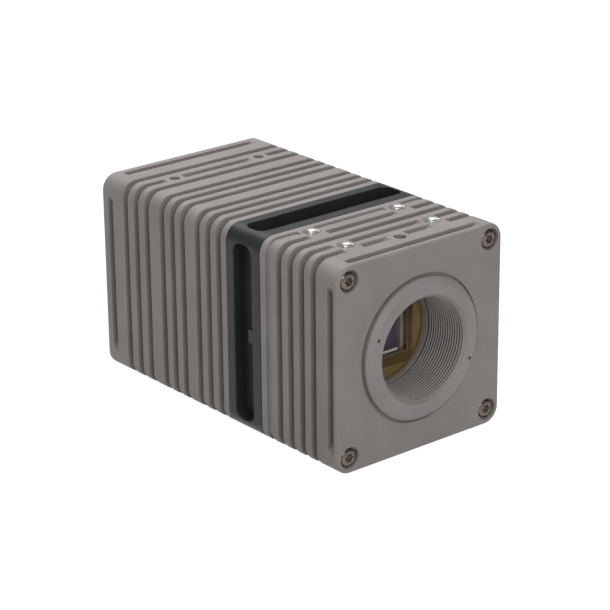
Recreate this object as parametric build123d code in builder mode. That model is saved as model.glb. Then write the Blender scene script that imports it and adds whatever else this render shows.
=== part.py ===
from build123d import *
import os
from math import cos, radians, sin

# Shortwave infrared camera: two grooved aluminium housings with a dark frame between them, a threaded lens mount in
# front, a cooled detector behind it, and a stack of circuit boards that ends in the sockets of the rear cover.
# The lens looks along -Y, +Z is up, and the origin is under the middle of the camera, on the surface it stands on.
# Every distance called "from the front" is counted from the front face of the body towards the rear.

# Body
body_width = 50.0
body_height = 50.0
corner_radius = 4.0
edge_chamfer = 0.5
front_length = 27.0
spacer_length = 12.4
rear_length = 49.1
clearance = 0.05

# Grooves milled round the front housing, from its front face, and the soft one from its rear end
groove_width = 2.0
groove_depth = 1.8
groove_pitch = 4.0
front_groove_start = 7.3
front_groove_count = 4
soft_groove_margin = 3.6
soft_groove_width = 1.8
soft_groove_depth = 0.6

# Three groups of grooves round the rear housing: two placed from its front end, the last from its rear end
rear_group_count = 3
rear_first_start = 2.0
rear_middle_start = 15.8
rear_last_margin = 19.2
rear_last_pitch = 4.3

# Closed slots near both ends of the body
slot_margin = 4.85
slot_end_radius = 0.6
front_slot_inset = 1.45
rear_slot_inset = 2.3

# Threaded holes in the top and the underside, and the pads that the grooves leave round them
insert_spacing = 26.0
insert_pitch = 12.0
insert_margin = 4.2
insert_radius = 2.05
insert_bore_radius = 1.65
insert_length = 4.0
insert_sink = 0.1
insert_hole_end = 0.2
rear_hole_margin = 13.9
rear_hole_radius = 1.25
rear_hole_depth = 3.2
pad_width = 5.0
pad_margin = 2.5

# Lens mount
ring_protrusion = 1.5
ring_radius = 17.1
ring_seat_radius = 16.0
ring_edge_chamfer = 0.9
lens_thread_radius = 12.25
lens_entry_chamfer = 0.85
moat_width = 0.65
moat_depth = 0.7
spanner_hole_radius = 0.45
spanner_hole_circle_radius = 15.1
spanner_hole_depth = 2.0
spanner_hole_turn = -22.5
lip_radius = 11.8
lip_thickness = 1.5
lock_hole_place = 7.25
lock_hole_radius = 1.45
lock_screw_length = 6.0
lock_socket_width = 1.5
lock_socket_depth = 1.2

# Screws, placed from the sides of the body
screw_radius = 1.25
screw_hole_radius = 1.35
screw_thread_depth = 2.5
front_screw_inset = 3.8
front_head_radius = 2.2
front_head_height = 1.0
front_head_sink = 0.25
counterbore_radius = 2.6
rear_screw_inset = 5.4
rear_head_radius = 2.3
countersink_angle = 90.0
driver_width = 1.7
driver_depth = 0.9

# Dark frame between the housings
window_margin = 3.3
window_width = 6.5
window_inset = 3.1
window_depth = 2.8
window_end_radius = 2.2
tab_height = 3.4
tab_length = 1.5
tab_round = 0.5
spacer_wall = 7.0
spacer_opening_radius = 3.0

# Inside the housings
bay_gap = 1.0
bay_radius = 2.5
spreader_inset = 5.1
spreader_radius = 3.9
rear_wall = 4.0
rear_bay_radius = 10.0
cover_margin = 2.65
cover_radius = 3.0
cover_thickness = 2.0

# Detector
flange_distance = 17.526
seal_thickness = 0.3
seal_band = 1.5
seal_inset = 0.5
package_width = 31.0
package_height = 28.0
package_wall = 2.0
package_base = 1.5
lid_thickness = 1.2
lid_to_chip = 3.0
window_step_width = 18.6
window_step_height = 18.3
window_step_depth = 0.7
glass_thickness = 0.6
lid_opening_width = 16.2
lid_opening_height = 13.8
chip_width = 15.0
chip_height = 14.4
chip_thickness = 0.57
carrier_width = 21.0
carrier_height = 18.0
carrier_thickness = 0.8
cooler_width = 13.0
cooler_height = 4.0
cooler_plate = 0.7
pellet_width = 1.4
pellet_pitch = 3.0
pellets_each_way = 4
pin_width = 0.46
pin_pitch = 2.0
pins_per_row = 11
pin_row_spacing = 25.0
pin_end_length = 0.8
pin_clearance = 0.12
pin_slot_width = 2.4
pin_slot_spare = 3.0
pad_thickness = 0.4
pad_plate_width = 20.0
pad_plate_height = 22.0

# Circuit boards
board_thickness = 1.6
sensor_board_gap = 1.0
sensor_board_radius = 2.0
main_board_gap = 1.2
main_board_corner_cut = 4.8
sensor_standoff_length = 2.5
processor_board_inset = 2.7
standoff_length = 11.0
standoff_inset = 2.5
standoff_flats = 4.0
stacker_length = 20.0
stacker_width = 4.0
stacker_place = 13.5
plug_height = 5.0

# Parts on the boards: across, up, width, height and thickness of each block, then the two round capacitors
sensor_board_blocks = ((-5.0, 0.0, 7.0, 7.0, 1.2), (5.0, 2.5, 5.0, 5.0, 1.0), (5.0, -6.0, 4.0, 3.0, 1.0))
processor_blocks = ((0.0, -3.0, 17.0, 17.0, 2.0), (-14.0, -3.0, 8.0, 11.0, 1.0), (14.0, -3.0, 8.0, 11.0, 1.0))
power_blocks = ((-8.0, 3.0, 8.0, 8.0, 4.0), (8.0, 3.0, 8.0, 8.0, 4.0), (0.0, -6.0, 6.0, 6.0, 1.4))
interface_blocks = ((0.0, -4.0, 9.0, 9.0, 1.0), (-12.0, -3.0, 7.0, 12.0, 3.0), (11.0, 0.0, 5.0, 5.0, 1.2))
capacitor_places = ((-9.0, -8.0), (9.0, -8.0))
capacitor_radius = 3.15
capacitor_length = 7.0

# Rear sockets, placed as the lens sees them: x to the right, then up, from the camera's axis
jack_place = (0.0, -9.0)
jack_width = 16.2
jack_height = 13.8
jack_sheet = 0.3
jack_cavity_width = 11.9
jack_cavity_height = 6.9
jack_cavity_depth = 14.0
jack_cavity_rise = 1.25
jack_latch_widths = (6.4, 3.6)
jack_latch_height = 1.4
jack_face_sink = 0.3
contact_count = 8
contact_pitch = 1.27
contact_width = 0.5
contact_height = 0.6
contact_length = 9.0
contact_inset = 3.0
jack_lock_margin = 2.35
jack_lock_hole_radius = 0.8
io_place = (7.0, 10.5)
io_flange_radius = 6.6
io_flange_thickness = 1.5
io_flange_chamfer = 0.3
io_barrel_radius = 5.4
io_body_radius = 5.0
io_bore_radius = 4.3
io_protrusion = 7.0
io_body_length = 8.0
io_face_sink = 3.5
io_nut_flats = 13.0
io_nut_thickness = 2.0
io_pin_radius = 0.4
io_pin_length = 2.8
io_outer_circle_radius = 2.9
io_outer_count = 8
io_inner_circle_radius = 1.15
io_inner_count = 4
io_tail_width = 0.4
light_place = (-10.0, 10.5)
light_radius = 1.5
light_protrusion = 0.3

# Places that follow from the sizes
spacer_start = front_length
rear_start = spacer_start + spacer_length
body_length = rear_start + rear_length
axis_z = body_height / 2
front_y = ring_protrusion - (ring_protrusion + body_length + io_protrusion) / 2
soft_groove_start = front_length - soft_groove_margin
insert_rows = (front_length - insert_margin - insert_pitch, front_length - insert_margin)
rear_hole_row = body_length - rear_hole_margin
rear_groups = (
    (rear_start + rear_first_start, groove_pitch),
    (rear_start + rear_middle_start, groove_pitch),
    (body_length - rear_last_margin, rear_last_pitch),
)
chip_start = flange_distance - ring_protrusion
lid_start = chip_start - lid_to_chip
lip_end = lid_start - seal_thickness
lip_start = lip_end - lip_thickness
tub_start = lid_start + lid_thickness
carrier_start = chip_start + chip_thickness
cooler_start = carrier_start + carrier_thickness
tub_floor = cooler_start + cooler_height
tub_end = tub_floor + package_base
spreader_start = tub_end + pad_thickness
sensor_board_start = spacer_start + sensor_standoff_length
sensor_board_end = sensor_board_start + board_thickness
processor_board_start = rear_start + processor_board_inset
power_board_start = processor_board_start + board_thickness + standoff_length
interface_board_start = power_board_start + board_thickness + standoff_length
interface_board_end = interface_board_start + board_thickness
cover_start = body_length - cover_thickness
front_screw_end = spacer_start + screw_thread_depth
rear_screw_end = rear_start - screw_thread_depth
opening_width = body_width - 2 * spacer_wall
opening_height = body_height - 2 * spacer_wall
rear_bay_width = body_width - 2 * rear_wall
rear_bay_height = body_height - 2 * rear_wall
sensor_board_width = opening_width - 2 * sensor_board_gap
sensor_board_height = opening_height - 2 * sensor_board_gap
cover_width = body_width - 2 * cover_margin
cover_height = body_height - 2 * cover_margin


def along(place=(0, 0)):
    """Plane through an axis along the camera, x from the front and y outwards from the axis, for turned profiles."""
    return Plane(origin=(place[0], front_y, axis_z + place[1]), x_dir=(0, 1, 0), z_dir=(1, 0, 0))


def axis_at(place=(0, 0)):
    """Axis along the camera, through this place on the plane that the lens end shows."""
    return Axis((place[0], front_y, axis_z + place[1]), (0, 1, 0))


def across(distance, place=(0, 0)):
    """Plane across the camera at this distance from the front, drawn as the lens end is seen, x right and y up."""
    origin = (place[0], front_y + distance, axis_z + place[1])
    return Plane(origin=origin, x_dir=(1, 0, 0), z_dir=(0, -1, 0))


def side(angle, distance):
    """Plane on a long side (0 top, 90 right, 180 underside, 270 left), x round the body and y along it."""
    out = (round(sin(radians(angle))), 0, round(cos(radians(angle))))
    origin = (body_width / 2 * out[0], front_y + distance, axis_z + body_height / 2 * out[2])
    return Plane(origin=origin, x_dir=(out[2], 0, -out[0]), z_dir=out)


def side_width(angle):
    """How wide that long side is, round the body."""
    return body_width if angle in (0, 180) else body_height


def corners(inset):
    """Four places this far in from the sides of the body."""
    reach, rise = body_width / 2 - inset, body_height / 2 - inset
    return [(i * reach, j * rise) for i in (-1, 1) for j in (-1, 1)]


def cut_groove(start, width, depth, top_holes, bottom_holes):
    """Mills one groove round the body, left out where the pad of a threaded hole crosses it."""
    with BuildSketch(across(start)) as outline:
        Rectangle(2 * body_width, 2 * body_height)
        floor_radius = corner_radius - depth
        RectangleRounded(body_width - 2 * depth, body_height - 2 * depth, floor_radius, mode=Mode.SUBTRACT)
        for up, holes in ((1, top_holes), (-1, bottom_holes)):
            for x, place in holes:
                if start - pad_margin < place < start + width + pad_margin:
                    with Locations((x, up * body_height / 2)):
                        Rectangle(pad_width, body_height / 2, mode=Mode.SUBTRACT)
    extrude(outline.sketch, amount=-width, mode=Mode.SUBTRACT)


def cut_closed_slots(middle):
    """Mills one short closed slot into each of the four long sides."""
    for angle in (0, 90, 180, 270):
        with BuildSketch(side(angle, middle)) as slot:
            RectangleRounded(side_width(angle) - 2 * slot_margin, groove_width, slot_end_radius)
        extrude(slot.sketch, amount=-groove_depth, mode=Mode.SUBTRACT)


def driver_recess(plane):
    """Cuts the recess for the driver into a screw head."""
    with BuildSketch(plane) as recess:
        RegularPolygon(driver_width / 2, 6, major_radius=False)
    extrude(recess.sketch, amount=-driver_depth, mode=Mode.SUBTRACT)


# Front housing: one milled block with the lens bore, a bay for the detector and a step that takes the heat spreader
insert_holes = [(i * insert_spacing / 2, row) for i in (-1, 1) for row in insert_rows]
with BuildPart() as front_housing:
    with BuildSketch(across(0)):
        RectangleRounded(body_width, body_height, corner_radius)
    extrude(amount=-front_length)
    chamfer(front_housing.faces().sort_by(Axis.Y)[0].edges(), edge_chamfer)
    for i in range(front_groove_count):
        groove_start = front_groove_start + i * groove_pitch
        top_holes = insert_holes + [(0, lock_hole_place)]
        cut_groove(groove_start, groove_width, groove_depth, top_holes, insert_holes)
    cut_groove(soft_groove_start, soft_groove_width, soft_groove_depth, insert_holes, insert_holes)
    cut_closed_slots(front_slot_inset + groove_width / 2)
    with BuildSketch(along()):
        with BuildLine():
            Polyline(
                (-edge_chamfer, 0),
                (-edge_chamfer, ring_radius + moat_width),
                (moat_depth, ring_radius + moat_width),
                (moat_depth, ring_seat_radius + clearance),
                (lip_start, ring_seat_radius + clearance),
                (lip_start, lip_radius),
                (lip_end, lip_radius),
                (lip_end, 0),
                close=True,
            )
        make_face()
    revolve(axis=axis_at(), mode=Mode.SUBTRACT)
    with BuildSketch(across(lip_end)):
        RectangleRounded(package_width + 2 * bay_gap, package_height + 2 * bay_gap, bay_radius)
    extrude(amount=lip_end - front_length, mode=Mode.SUBTRACT)
    with BuildSketch(across(spreader_start)):
        pocket_inset = spreader_inset - clearance
        pocket_radius = spreader_radius + clearance
        RectangleRounded(body_width - 2 * pocket_inset, body_height - 2 * pocket_inset, pocket_radius)
    extrude(amount=spreader_start - front_length, mode=Mode.SUBTRACT)
    with Locations(*[across(0, place) for place in corners(front_screw_inset)]):
        CounterBoreHole(screw_hole_radius, counterbore_radius, front_head_sink + front_head_height)
    for angle in (0, 180):
        for x, row in insert_holes:
            with Locations(side(angle, row)):
                with Locations((x, 0)):
                    Hole(insert_radius + clearance, insert_sink + insert_length + insert_hole_end)
    with Locations(side(0, lock_hole_place)):
        Hole(lock_hole_radius, body_height / 2 - ring_seat_radius + clearance)

# Lens mount ring: turned, its shoulder on the floor of the moat, with the lens bore and two spanner holes
ring_end = lip_start - clearance
with BuildPart() as mount_ring:
    with BuildSketch(along()):
        with BuildLine():
            Polyline(
                (-ring_protrusion, lens_thread_radius + lens_entry_chamfer),
                (-ring_protrusion, ring_radius - ring_edge_chamfer),
                (-ring_protrusion + ring_edge_chamfer, ring_radius),
                (moat_depth, ring_radius),
                (moat_depth, ring_seat_radius),
                (ring_end, ring_seat_radius),
                (ring_end, lens_thread_radius),
                (-ring_protrusion + lens_entry_chamfer, lens_thread_radius),
                close=True,
            )
        make_face()
    revolve(axis=axis_at())
    with BuildSketch(across(-ring_protrusion)):
        with PolarLocations(spanner_hole_circle_radius, 2, start_angle=spanner_hole_turn):
            Circle(spanner_hole_radius)
    extrude(amount=-spanner_hole_depth, mode=Mode.SUBTRACT)

# Grub screw that locks the ring from above
with BuildPart() as ring_lock_screw:
    lock_tip = body_height / 2 - ring_seat_radius - clearance
    with BuildSketch(side(0, lock_hole_place).offset(-lock_tip)):
        Circle(lock_hole_radius - clearance)
    extrude(amount=lock_screw_length)
    with BuildSketch(side(0, lock_hole_place).offset(lock_screw_length - lock_tip)):
        RegularPolygon(lock_socket_width / 2, 6, major_radius=False)
    extrude(amount=-lock_socket_depth, mode=Mode.SUBTRACT)

# Four front screws, through the front housing into the dark frame
with BuildPart() as front_screws:
    head_end = front_head_sink + front_head_height
    for place in corners(front_screw_inset):
        head_plane = across(front_head_sink, place)
        with BuildSketch(head_plane):
            Circle(front_head_radius)
        extrude(amount=-front_head_height)
        with BuildSketch(across(head_end, place)):
            Circle(screw_radius)
        extrude(amount=head_end - front_screw_end)
        driver_recess(head_plane)


# Steel thread inserts, the same four in the top and in the underside
def thread_inserts(angle):
    with BuildPart() as inserts:
        for x, row in insert_holes:
            with BuildSketch(side(angle, row).offset(-insert_sink)):
                with Locations((x, 0)):
                    Circle(insert_radius)
                    Circle(insert_bore_radius, mode=Mode.SUBTRACT)
            extrude(amount=-insert_length)
    return inserts


top_inserts = thread_inserts(0)
bottom_inserts = thread_inserts(180)

# Dark frame: an open box with a blind round-ended window in each long side, and a tab at the left one's front edge
with BuildPart() as spacer_frame:
    with BuildSketch(across(spacer_start)):
        RectangleRounded(body_width, body_height, corner_radius)
        RectangleRounded(opening_width, opening_height, spacer_opening_radius, mode=Mode.SUBTRACT)
    extrude(amount=-spacer_length)
    for angle in (0, 90, 180, 270):
        with BuildSketch(side(angle, spacer_start + window_inset + window_width / 2)):
            RectangleRounded(side_width(angle) - 2 * window_margin, window_width, window_end_radius)
        extrude(amount=-window_depth, mode=Mode.SUBTRACT)
    with BuildSketch(side(270, spacer_start + window_inset)):
        with Locations((0, (tab_length - tab_round) / 2)):
            RectangleRounded(tab_height, tab_length + tab_round, tab_round)
    extrude(amount=-window_depth)
    for place in corners(front_screw_inset):
        with BuildSketch(across(spacer_start, place)):
            Circle(screw_radius + clearance)
        extrude(amount=-(screw_thread_depth + clearance), mode=Mode.SUBTRACT)
    for place in corners(rear_screw_inset):
        with BuildSketch(across(rear_start, place)):
            Circle(screw_radius + clearance)
        extrude(amount=screw_thread_depth + clearance, mode=Mode.SUBTRACT)

# Rear housing: a grooved tube with solid corners that the long screws pass through
rear_holes = [(i * insert_spacing / 2, rear_hole_row) for i in (-1, 1)]
with BuildPart() as rear_housing:
    with BuildSketch(across(rear_start)):
        RectangleRounded(body_width, body_height, corner_radius)
    extrude(amount=-rear_length)
    chamfer(rear_housing.faces().sort_by(Axis.Y)[-1].edges(), edge_chamfer)
    for group_start, pitch in rear_groups:
        for i in range(rear_group_count):
            cut_groove(group_start + i * pitch, groove_width, groove_depth, rear_holes, rear_holes)
    cut_closed_slots(body_length - rear_slot_inset - groove_width / 2)
    with BuildSketch(across(rear_start)):
        RectangleRounded(rear_bay_width, rear_bay_height, rear_bay_radius)
    extrude(amount=-rear_length, mode=Mode.SUBTRACT)
    with BuildSketch(across(cover_start)):
        RectangleRounded(cover_width + 2 * clearance, cover_height + 2 * clearance, cover_radius + clearance)
    extrude(amount=-cover_thickness, mode=Mode.SUBTRACT)
    for place in corners(rear_screw_inset):
        with BuildSketch(across(rear_start, place)):
            Circle(screw_hole_radius)
        extrude(amount=-rear_length, mode=Mode.SUBTRACT)
    for angle in (0, 180):
        for x, row in rear_holes:
            with Locations(side(angle, row)):
                with Locations((x, 0)):
                    Hole(rear_hole_radius, rear_hole_depth)

# Detector package: tub, stepped lid, window, chip on its ceramic carrier, cooler, and two rows of pins
with BuildPart() as sensor_package:
    with BuildSketch(across(tub_start)):
        Rectangle(package_width, package_height)
    extrude(amount=tub_start - tub_end)
    with BuildSketch(across(tub_start)):
        Rectangle(package_width - 2 * package_wall, package_height - 2 * package_wall)
    extrude(amount=tub_start - tub_floor, mode=Mode.SUBTRACT)

with BuildPart() as package_lid:
    with BuildSketch(across(lid_start)):
        Rectangle(package_width, package_height)
        Rectangle(lid_opening_width, lid_opening_height, mode=Mode.SUBTRACT)
    extrude(amount=-lid_thickness)
    with BuildSketch(across(lid_start)):
        Rectangle(window_step_width, window_step_height)
    extrude(amount=-window_step_depth, mode=Mode.SUBTRACT)

with BuildPart() as sensor_window:
    with BuildSketch(across(lid_start + window_step_depth - glass_thickness)):
        Rectangle(window_step_width - 2 * clearance, window_step_height - 2 * clearance)
    extrude(amount=-glass_thickness)

with BuildPart() as sensor_chip:
    with BuildSketch(across(chip_start)):
        Rectangle(chip_width, chip_height)
    extrude(amount=-chip_thickness)

with BuildPart() as bond_carrier:
    with BuildSketch(across(carrier_start)):
        Rectangle(carrier_width, carrier_height)
    extrude(amount=-carrier_thickness)

with BuildPart() as thermoelectric_cooler:
    for plate_start in (cooler_start, tub_floor - cooler_plate):
        with BuildSketch(across(plate_start)):
            Rectangle(cooler_width, cooler_width)
        extrude(amount=-cooler_plate)
    with BuildSketch(across(cooler_start + cooler_plate)):
        with GridLocations(pellet_pitch, pellet_pitch, pellets_each_way, pellets_each_way):
            Rectangle(pellet_width, pellet_width)
    extrude(amount=2 * cooler_plate - cooler_height)

with BuildPart() as package_seal:
    with BuildSketch(across(lip_end)):
        Rectangle(package_width - 2 * seal_inset, package_height - 2 * seal_inset)
        opening_inset = seal_inset + seal_band
        Rectangle(package_width - 2 * opening_inset, package_height - 2 * opening_inset, mode=Mode.SUBTRACT)
    extrude(amount=-seal_thickness)

with BuildPart() as package_pins:
    with BuildSketch(across(tub_end)):
        with GridLocations(pin_row_spacing, pin_pitch, 2, pins_per_row):
            Rectangle(pin_width, pin_width)
    extrude(amount=tub_end - sensor_board_end - pin_end_length)

# Heat path: a soft pad and a plate that is clamped between the front housing's step and the dark frame
with BuildPart() as thermal_pad:
    with BuildSketch(across(tub_end)):
        Rectangle(pad_plate_width, pad_plate_height)
    extrude(amount=-pad_thickness)

with BuildPart() as heat_spreader:
    with BuildSketch(across(spreader_start)):
        RectangleRounded(body_width - 2 * spreader_inset, body_height - 2 * spreader_inset, spreader_radius)
        pin_row_length = (pins_per_row - 1) * pin_pitch
        with GridLocations(pin_row_spacing, 0, 2, 1):
            Rectangle(pin_slot_width, pin_row_length + pin_slot_spare, mode=Mode.SUBTRACT)
    extrude(amount=spreader_start - spacer_start)

# Circuit boards, with holes for the detector's pins in the first
with BuildPart() as sensor_board:
    with BuildSketch(across(sensor_board_start)):
        RectangleRounded(sensor_board_width, sensor_board_height, sensor_board_radius)
        with GridLocations(pin_row_spacing, pin_pitch, 2, pins_per_row):
            Rectangle(pin_width + pin_clearance, pin_width + pin_clearance, mode=Mode.SUBTRACT)
    extrude(amount=-board_thickness)


def main_board(start):
    with BuildPart() as board:
        with BuildSketch(across(start)) as outline:
            Rectangle(rear_bay_width - 2 * main_board_gap, rear_bay_height - 2 * main_board_gap)
            chamfer(outline.vertices(), main_board_corner_cut)
        extrude(amount=-board_thickness)
    return board


processor_board = main_board(processor_board_start)
power_board = main_board(power_board_start)
interface_board = main_board(interface_board_start)


# Hexagonal pillars of the stack, one set of four in front of each board
def standoffs(start, board_start):
    with BuildPart() as pillars:
        with BuildSketch(across(start)):
            spacing = (sensor_board_width - 2 * standoff_inset, sensor_board_height - 2 * standoff_inset)
            with GridLocations(*spacing, 2, 2):
                RegularPolygon(standoff_flats / 2, 6, major_radius=False)
        extrude(amount=start - board_start)
    return pillars


sensor_standoffs = standoffs(spacer_start, sensor_board_start)
processor_standoffs = standoffs(sensor_board_end, processor_board_start)
power_standoffs = standoffs(processor_board_start + board_thickness, power_board_start)
interface_standoffs = standoffs(power_board_start + board_thickness, interface_board_start)

# Stacking connectors: a plug on the rear of each board meets a socket on the front of the next
stacked_faces = (
    (sensor_board_end, processor_board_start),
    (processor_board_start + board_thickness, power_board_start),
    (power_board_start + board_thickness, interface_board_start),
)
with BuildPart() as board_plugs:
    for board_rear, next_board in stacked_faces:
        with BuildSketch(across(board_rear, (0, stacker_place))):
            Rectangle(stacker_length, stacker_width)
        extrude(amount=-plug_height)

with BuildPart() as board_sockets:
    for board_rear, next_board in stacked_faces:
        with BuildSketch(across(board_rear + plug_height, (0, stacker_place))):
            Rectangle(stacker_length, stacker_width)
        extrude(amount=board_rear + plug_height - next_board)


# Blocks soldered to a board's rear face, or to its front face where rearward is -1, and capacitors beside them
def board_parts(face, rearward, blocks, capacitors=()):
    with BuildPart() as parts:
        for x, up, width, height, thickness in blocks:
            with BuildSketch(across(face, (x, up))):
                Rectangle(width, height)
            extrude(amount=-rearward * thickness)
        for place in capacitors:
            with BuildSketch(across(face, place)):
                Circle(capacitor_radius)
            extrude(amount=-rearward * capacitor_length)
    return parts


sensor_board_chips = board_parts(sensor_board_end, 1, sensor_board_blocks)
processor_board_chips = board_parts(processor_board_start + board_thickness, 1, processor_blocks)
power_board_parts = board_parts(power_board_start + board_thickness, 1, power_blocks, capacitor_places)
interface_board_parts = board_parts(interface_board_start, -1, interface_blocks)

# Rear cover: a plate let into the rear housing, with openings for the sockets and countersinks for the long screws
with BuildPart() as rear_cover:
    with BuildSketch(across(cover_start)):
        RectangleRounded(cover_width, cover_height, cover_radius)
        with Locations(jack_place):
            Rectangle(jack_width + 2 * pin_clearance, jack_height + 2 * pin_clearance, mode=Mode.SUBTRACT)
        with Locations(io_place):
            Circle(io_body_radius + clearance, mode=Mode.SUBTRACT)
        with Locations(light_place):
            Circle(light_radius + clearance, mode=Mode.SUBTRACT)
        with Locations((0, jack_place[1])):
            with GridLocations(cover_width - 2 * jack_lock_margin, 0, 2, 1):
                Circle(jack_lock_hole_radius, mode=Mode.SUBTRACT)
    extrude(amount=-cover_thickness)
    for place in corners(rear_screw_inset):
        rear_face = Plane(origin=across(body_length, place).origin, x_dir=(-1, 0, 0), z_dir=(0, 1, 0))
        with Locations(rear_face):
            CounterSinkHole(screw_hole_radius, rear_head_radius + clearance, cover_thickness, countersink_angle)

# Four long countersunk screws, through the rear housing's corners into the dark frame
with BuildPart() as rear_screws:
    rear_head_height = rear_head_radius - screw_radius
    for place in corners(rear_screw_inset):
        rear_face = Plane(origin=across(body_length, place).origin, x_dir=(-1, 0, 0), z_dir=(0, 1, 0))
        with BuildSketch(rear_face.offset(-rear_head_height)):
            Circle(screw_radius)
        extrude(amount=rear_screw_end - body_length + rear_head_height)
        with BuildSketch(rear_face):
            Circle(rear_head_radius)
        extrude(amount=-rear_head_height, taper=countersink_angle / 2)
        driver_recess(rear_face)

# Data socket: sheet metal shield, moulded housing with its stepped plug opening, and eight contacts along its roof
jack_mouth = body_length - jack_face_sink
cavity_roof = jack_cavity_rise + jack_cavity_height / 2
with BuildPart() as jack_shield:
    with BuildSketch(across(interface_board_end, jack_place)):
        Rectangle(jack_width, jack_height)
        Rectangle(jack_width - 2 * jack_sheet, jack_height - 2 * jack_sheet, mode=Mode.SUBTRACT)
    extrude(amount=interface_board_end - body_length)

with BuildPart() as jack_housing:
    with BuildSketch(across(interface_board_end, jack_place)):
        inset = 2 * (jack_sheet + clearance)
        Rectangle(jack_width - inset, jack_height - inset)
    extrude(amount=interface_board_end - jack_mouth)
    with BuildSketch(across(jack_mouth - jack_cavity_depth, jack_place)):
        with Locations((0, jack_cavity_rise)):
            Rectangle(jack_cavity_width, jack_cavity_height)
        for step, width in enumerate(jack_latch_widths):
            drop = jack_cavity_rise - jack_cavity_height / 2 - (step + 0.5) * jack_latch_height
            with Locations((0, drop)):
                Rectangle(width, jack_latch_height)
    extrude(amount=-jack_cavity_depth, mode=Mode.SUBTRACT)

with BuildPart() as jack_contacts:
    contact_plane = across(jack_mouth - contact_inset - contact_length, jack_place)
    with BuildSketch(contact_plane):
        with Locations((0, cavity_roof - contact_height / 2)):
            with GridLocations(contact_pitch, 0, contact_count, 1):
                Rectangle(contact_width, contact_height)
    extrude(amount=-contact_length)

# Round connector: turned shell held by a nut behind the cover, and an insert with twelve pins
io_rear = body_length - io_body_length
io_mouth = body_length + io_protrusion
io_face = io_mouth - io_face_sink
flange_end = body_length + io_flange_thickness
with BuildPart() as io_shell:
    with BuildSketch(along(io_place)):
        with BuildLine():
            Polyline(
                (io_rear, io_bore_radius),
                (io_rear, io_body_radius),
                (body_length, io_body_radius),
                (body_length, io_flange_radius),
                (flange_end - io_flange_chamfer, io_flange_radius),
                (flange_end, io_flange_radius - io_flange_chamfer),
                (flange_end, io_barrel_radius),
                (io_mouth - io_flange_chamfer, io_barrel_radius),
                (io_mouth, io_barrel_radius - io_flange_chamfer),
                (io_mouth, io_bore_radius),
                close=True,
            )
        make_face()
    revolve(axis=axis_at(io_place))

with BuildPart() as io_insert:
    with BuildSketch(across(io_rear, io_place)):
        Circle(io_bore_radius - clearance)
    extrude(amount=io_rear - io_face)

with BuildPart() as io_nut:
    with BuildSketch(across(cover_start, io_place)):
        RegularPolygon(io_nut_flats / 2, 6, major_radius=False)
        Circle(io_body_radius + clearance, mode=Mode.SUBTRACT)
    extrude(amount=io_nut_thickness)

with BuildPart() as io_pins:
    for pin_circle, count in ((io_outer_circle_radius, io_outer_count), (io_inner_circle_radius, io_inner_count)):
        with BuildSketch(across(io_face, io_place)):
            with PolarLocations(pin_circle, count):
                RegularPolygon(io_pin_radius, 6)
        extrude(amount=-io_pin_length)
        with BuildSketch(across(io_rear, io_place)):
            with PolarLocations(pin_circle, count):
                Rectangle(io_tail_width, io_tail_width)
        extrude(amount=io_rear - interface_board_end)

# Light pipe from the interface board to the rear cover
with BuildPart() as status_light:
    with BuildSketch(across(interface_board_end, light_place)):
        Circle(light_radius)
    extrude(amount=interface_board_end - body_length - light_protrusion)

pieces = {
    "front_housing": front_housing,
    "mount_ring": mount_ring,
    "ring_lock_screw": ring_lock_screw,
    "front_screws": front_screws,
    "top_inserts": top_inserts,
    "bottom_inserts": bottom_inserts,
    "spacer_frame": spacer_frame,
    "rear_housing": rear_housing,
    "sensor_package": sensor_package,
    "package_lid": package_lid,
    "sensor_window": sensor_window,
    "sensor_chip": sensor_chip,
    "bond_carrier": bond_carrier,
    "thermoelectric_cooler": thermoelectric_cooler,
    "package_seal": package_seal,
    "package_pins": package_pins,
    "thermal_pad": thermal_pad,
    "heat_spreader": heat_spreader,
    "sensor_board": sensor_board,
    "processor_board": processor_board,
    "power_board": power_board,
    "interface_board": interface_board,
    "sensor_standoffs": sensor_standoffs,
    "processor_standoffs": processor_standoffs,
    "power_standoffs": power_standoffs,
    "interface_standoffs": interface_standoffs,
    "board_plugs": board_plugs,
    "board_sockets": board_sockets,
    "sensor_board_chips": sensor_board_chips,
    "processor_board_chips": processor_board_chips,
    "power_board_parts": power_board_parts,
    "interface_board_parts": interface_board_parts,
    "rear_cover": rear_cover,
    "rear_screws": rear_screws,
    "jack_shield": jack_shield,
    "jack_housing": jack_housing,
    "jack_contacts": jack_contacts,
    "io_shell": io_shell,
    "io_nut": io_nut,
    "io_insert": io_insert,
    "io_pins": io_pins,
    "status_light": status_light,
}
os.makedirs("parts", exist_ok=True)
for name, piece in pieces.items():
    piece.part.label = name
    export_step(piece.part, f"parts/{name}.step")
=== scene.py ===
from math import cos, floor, pi, radians, sin

import bmesh
import bpy
from mathutils import Matrix, Vector


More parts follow.
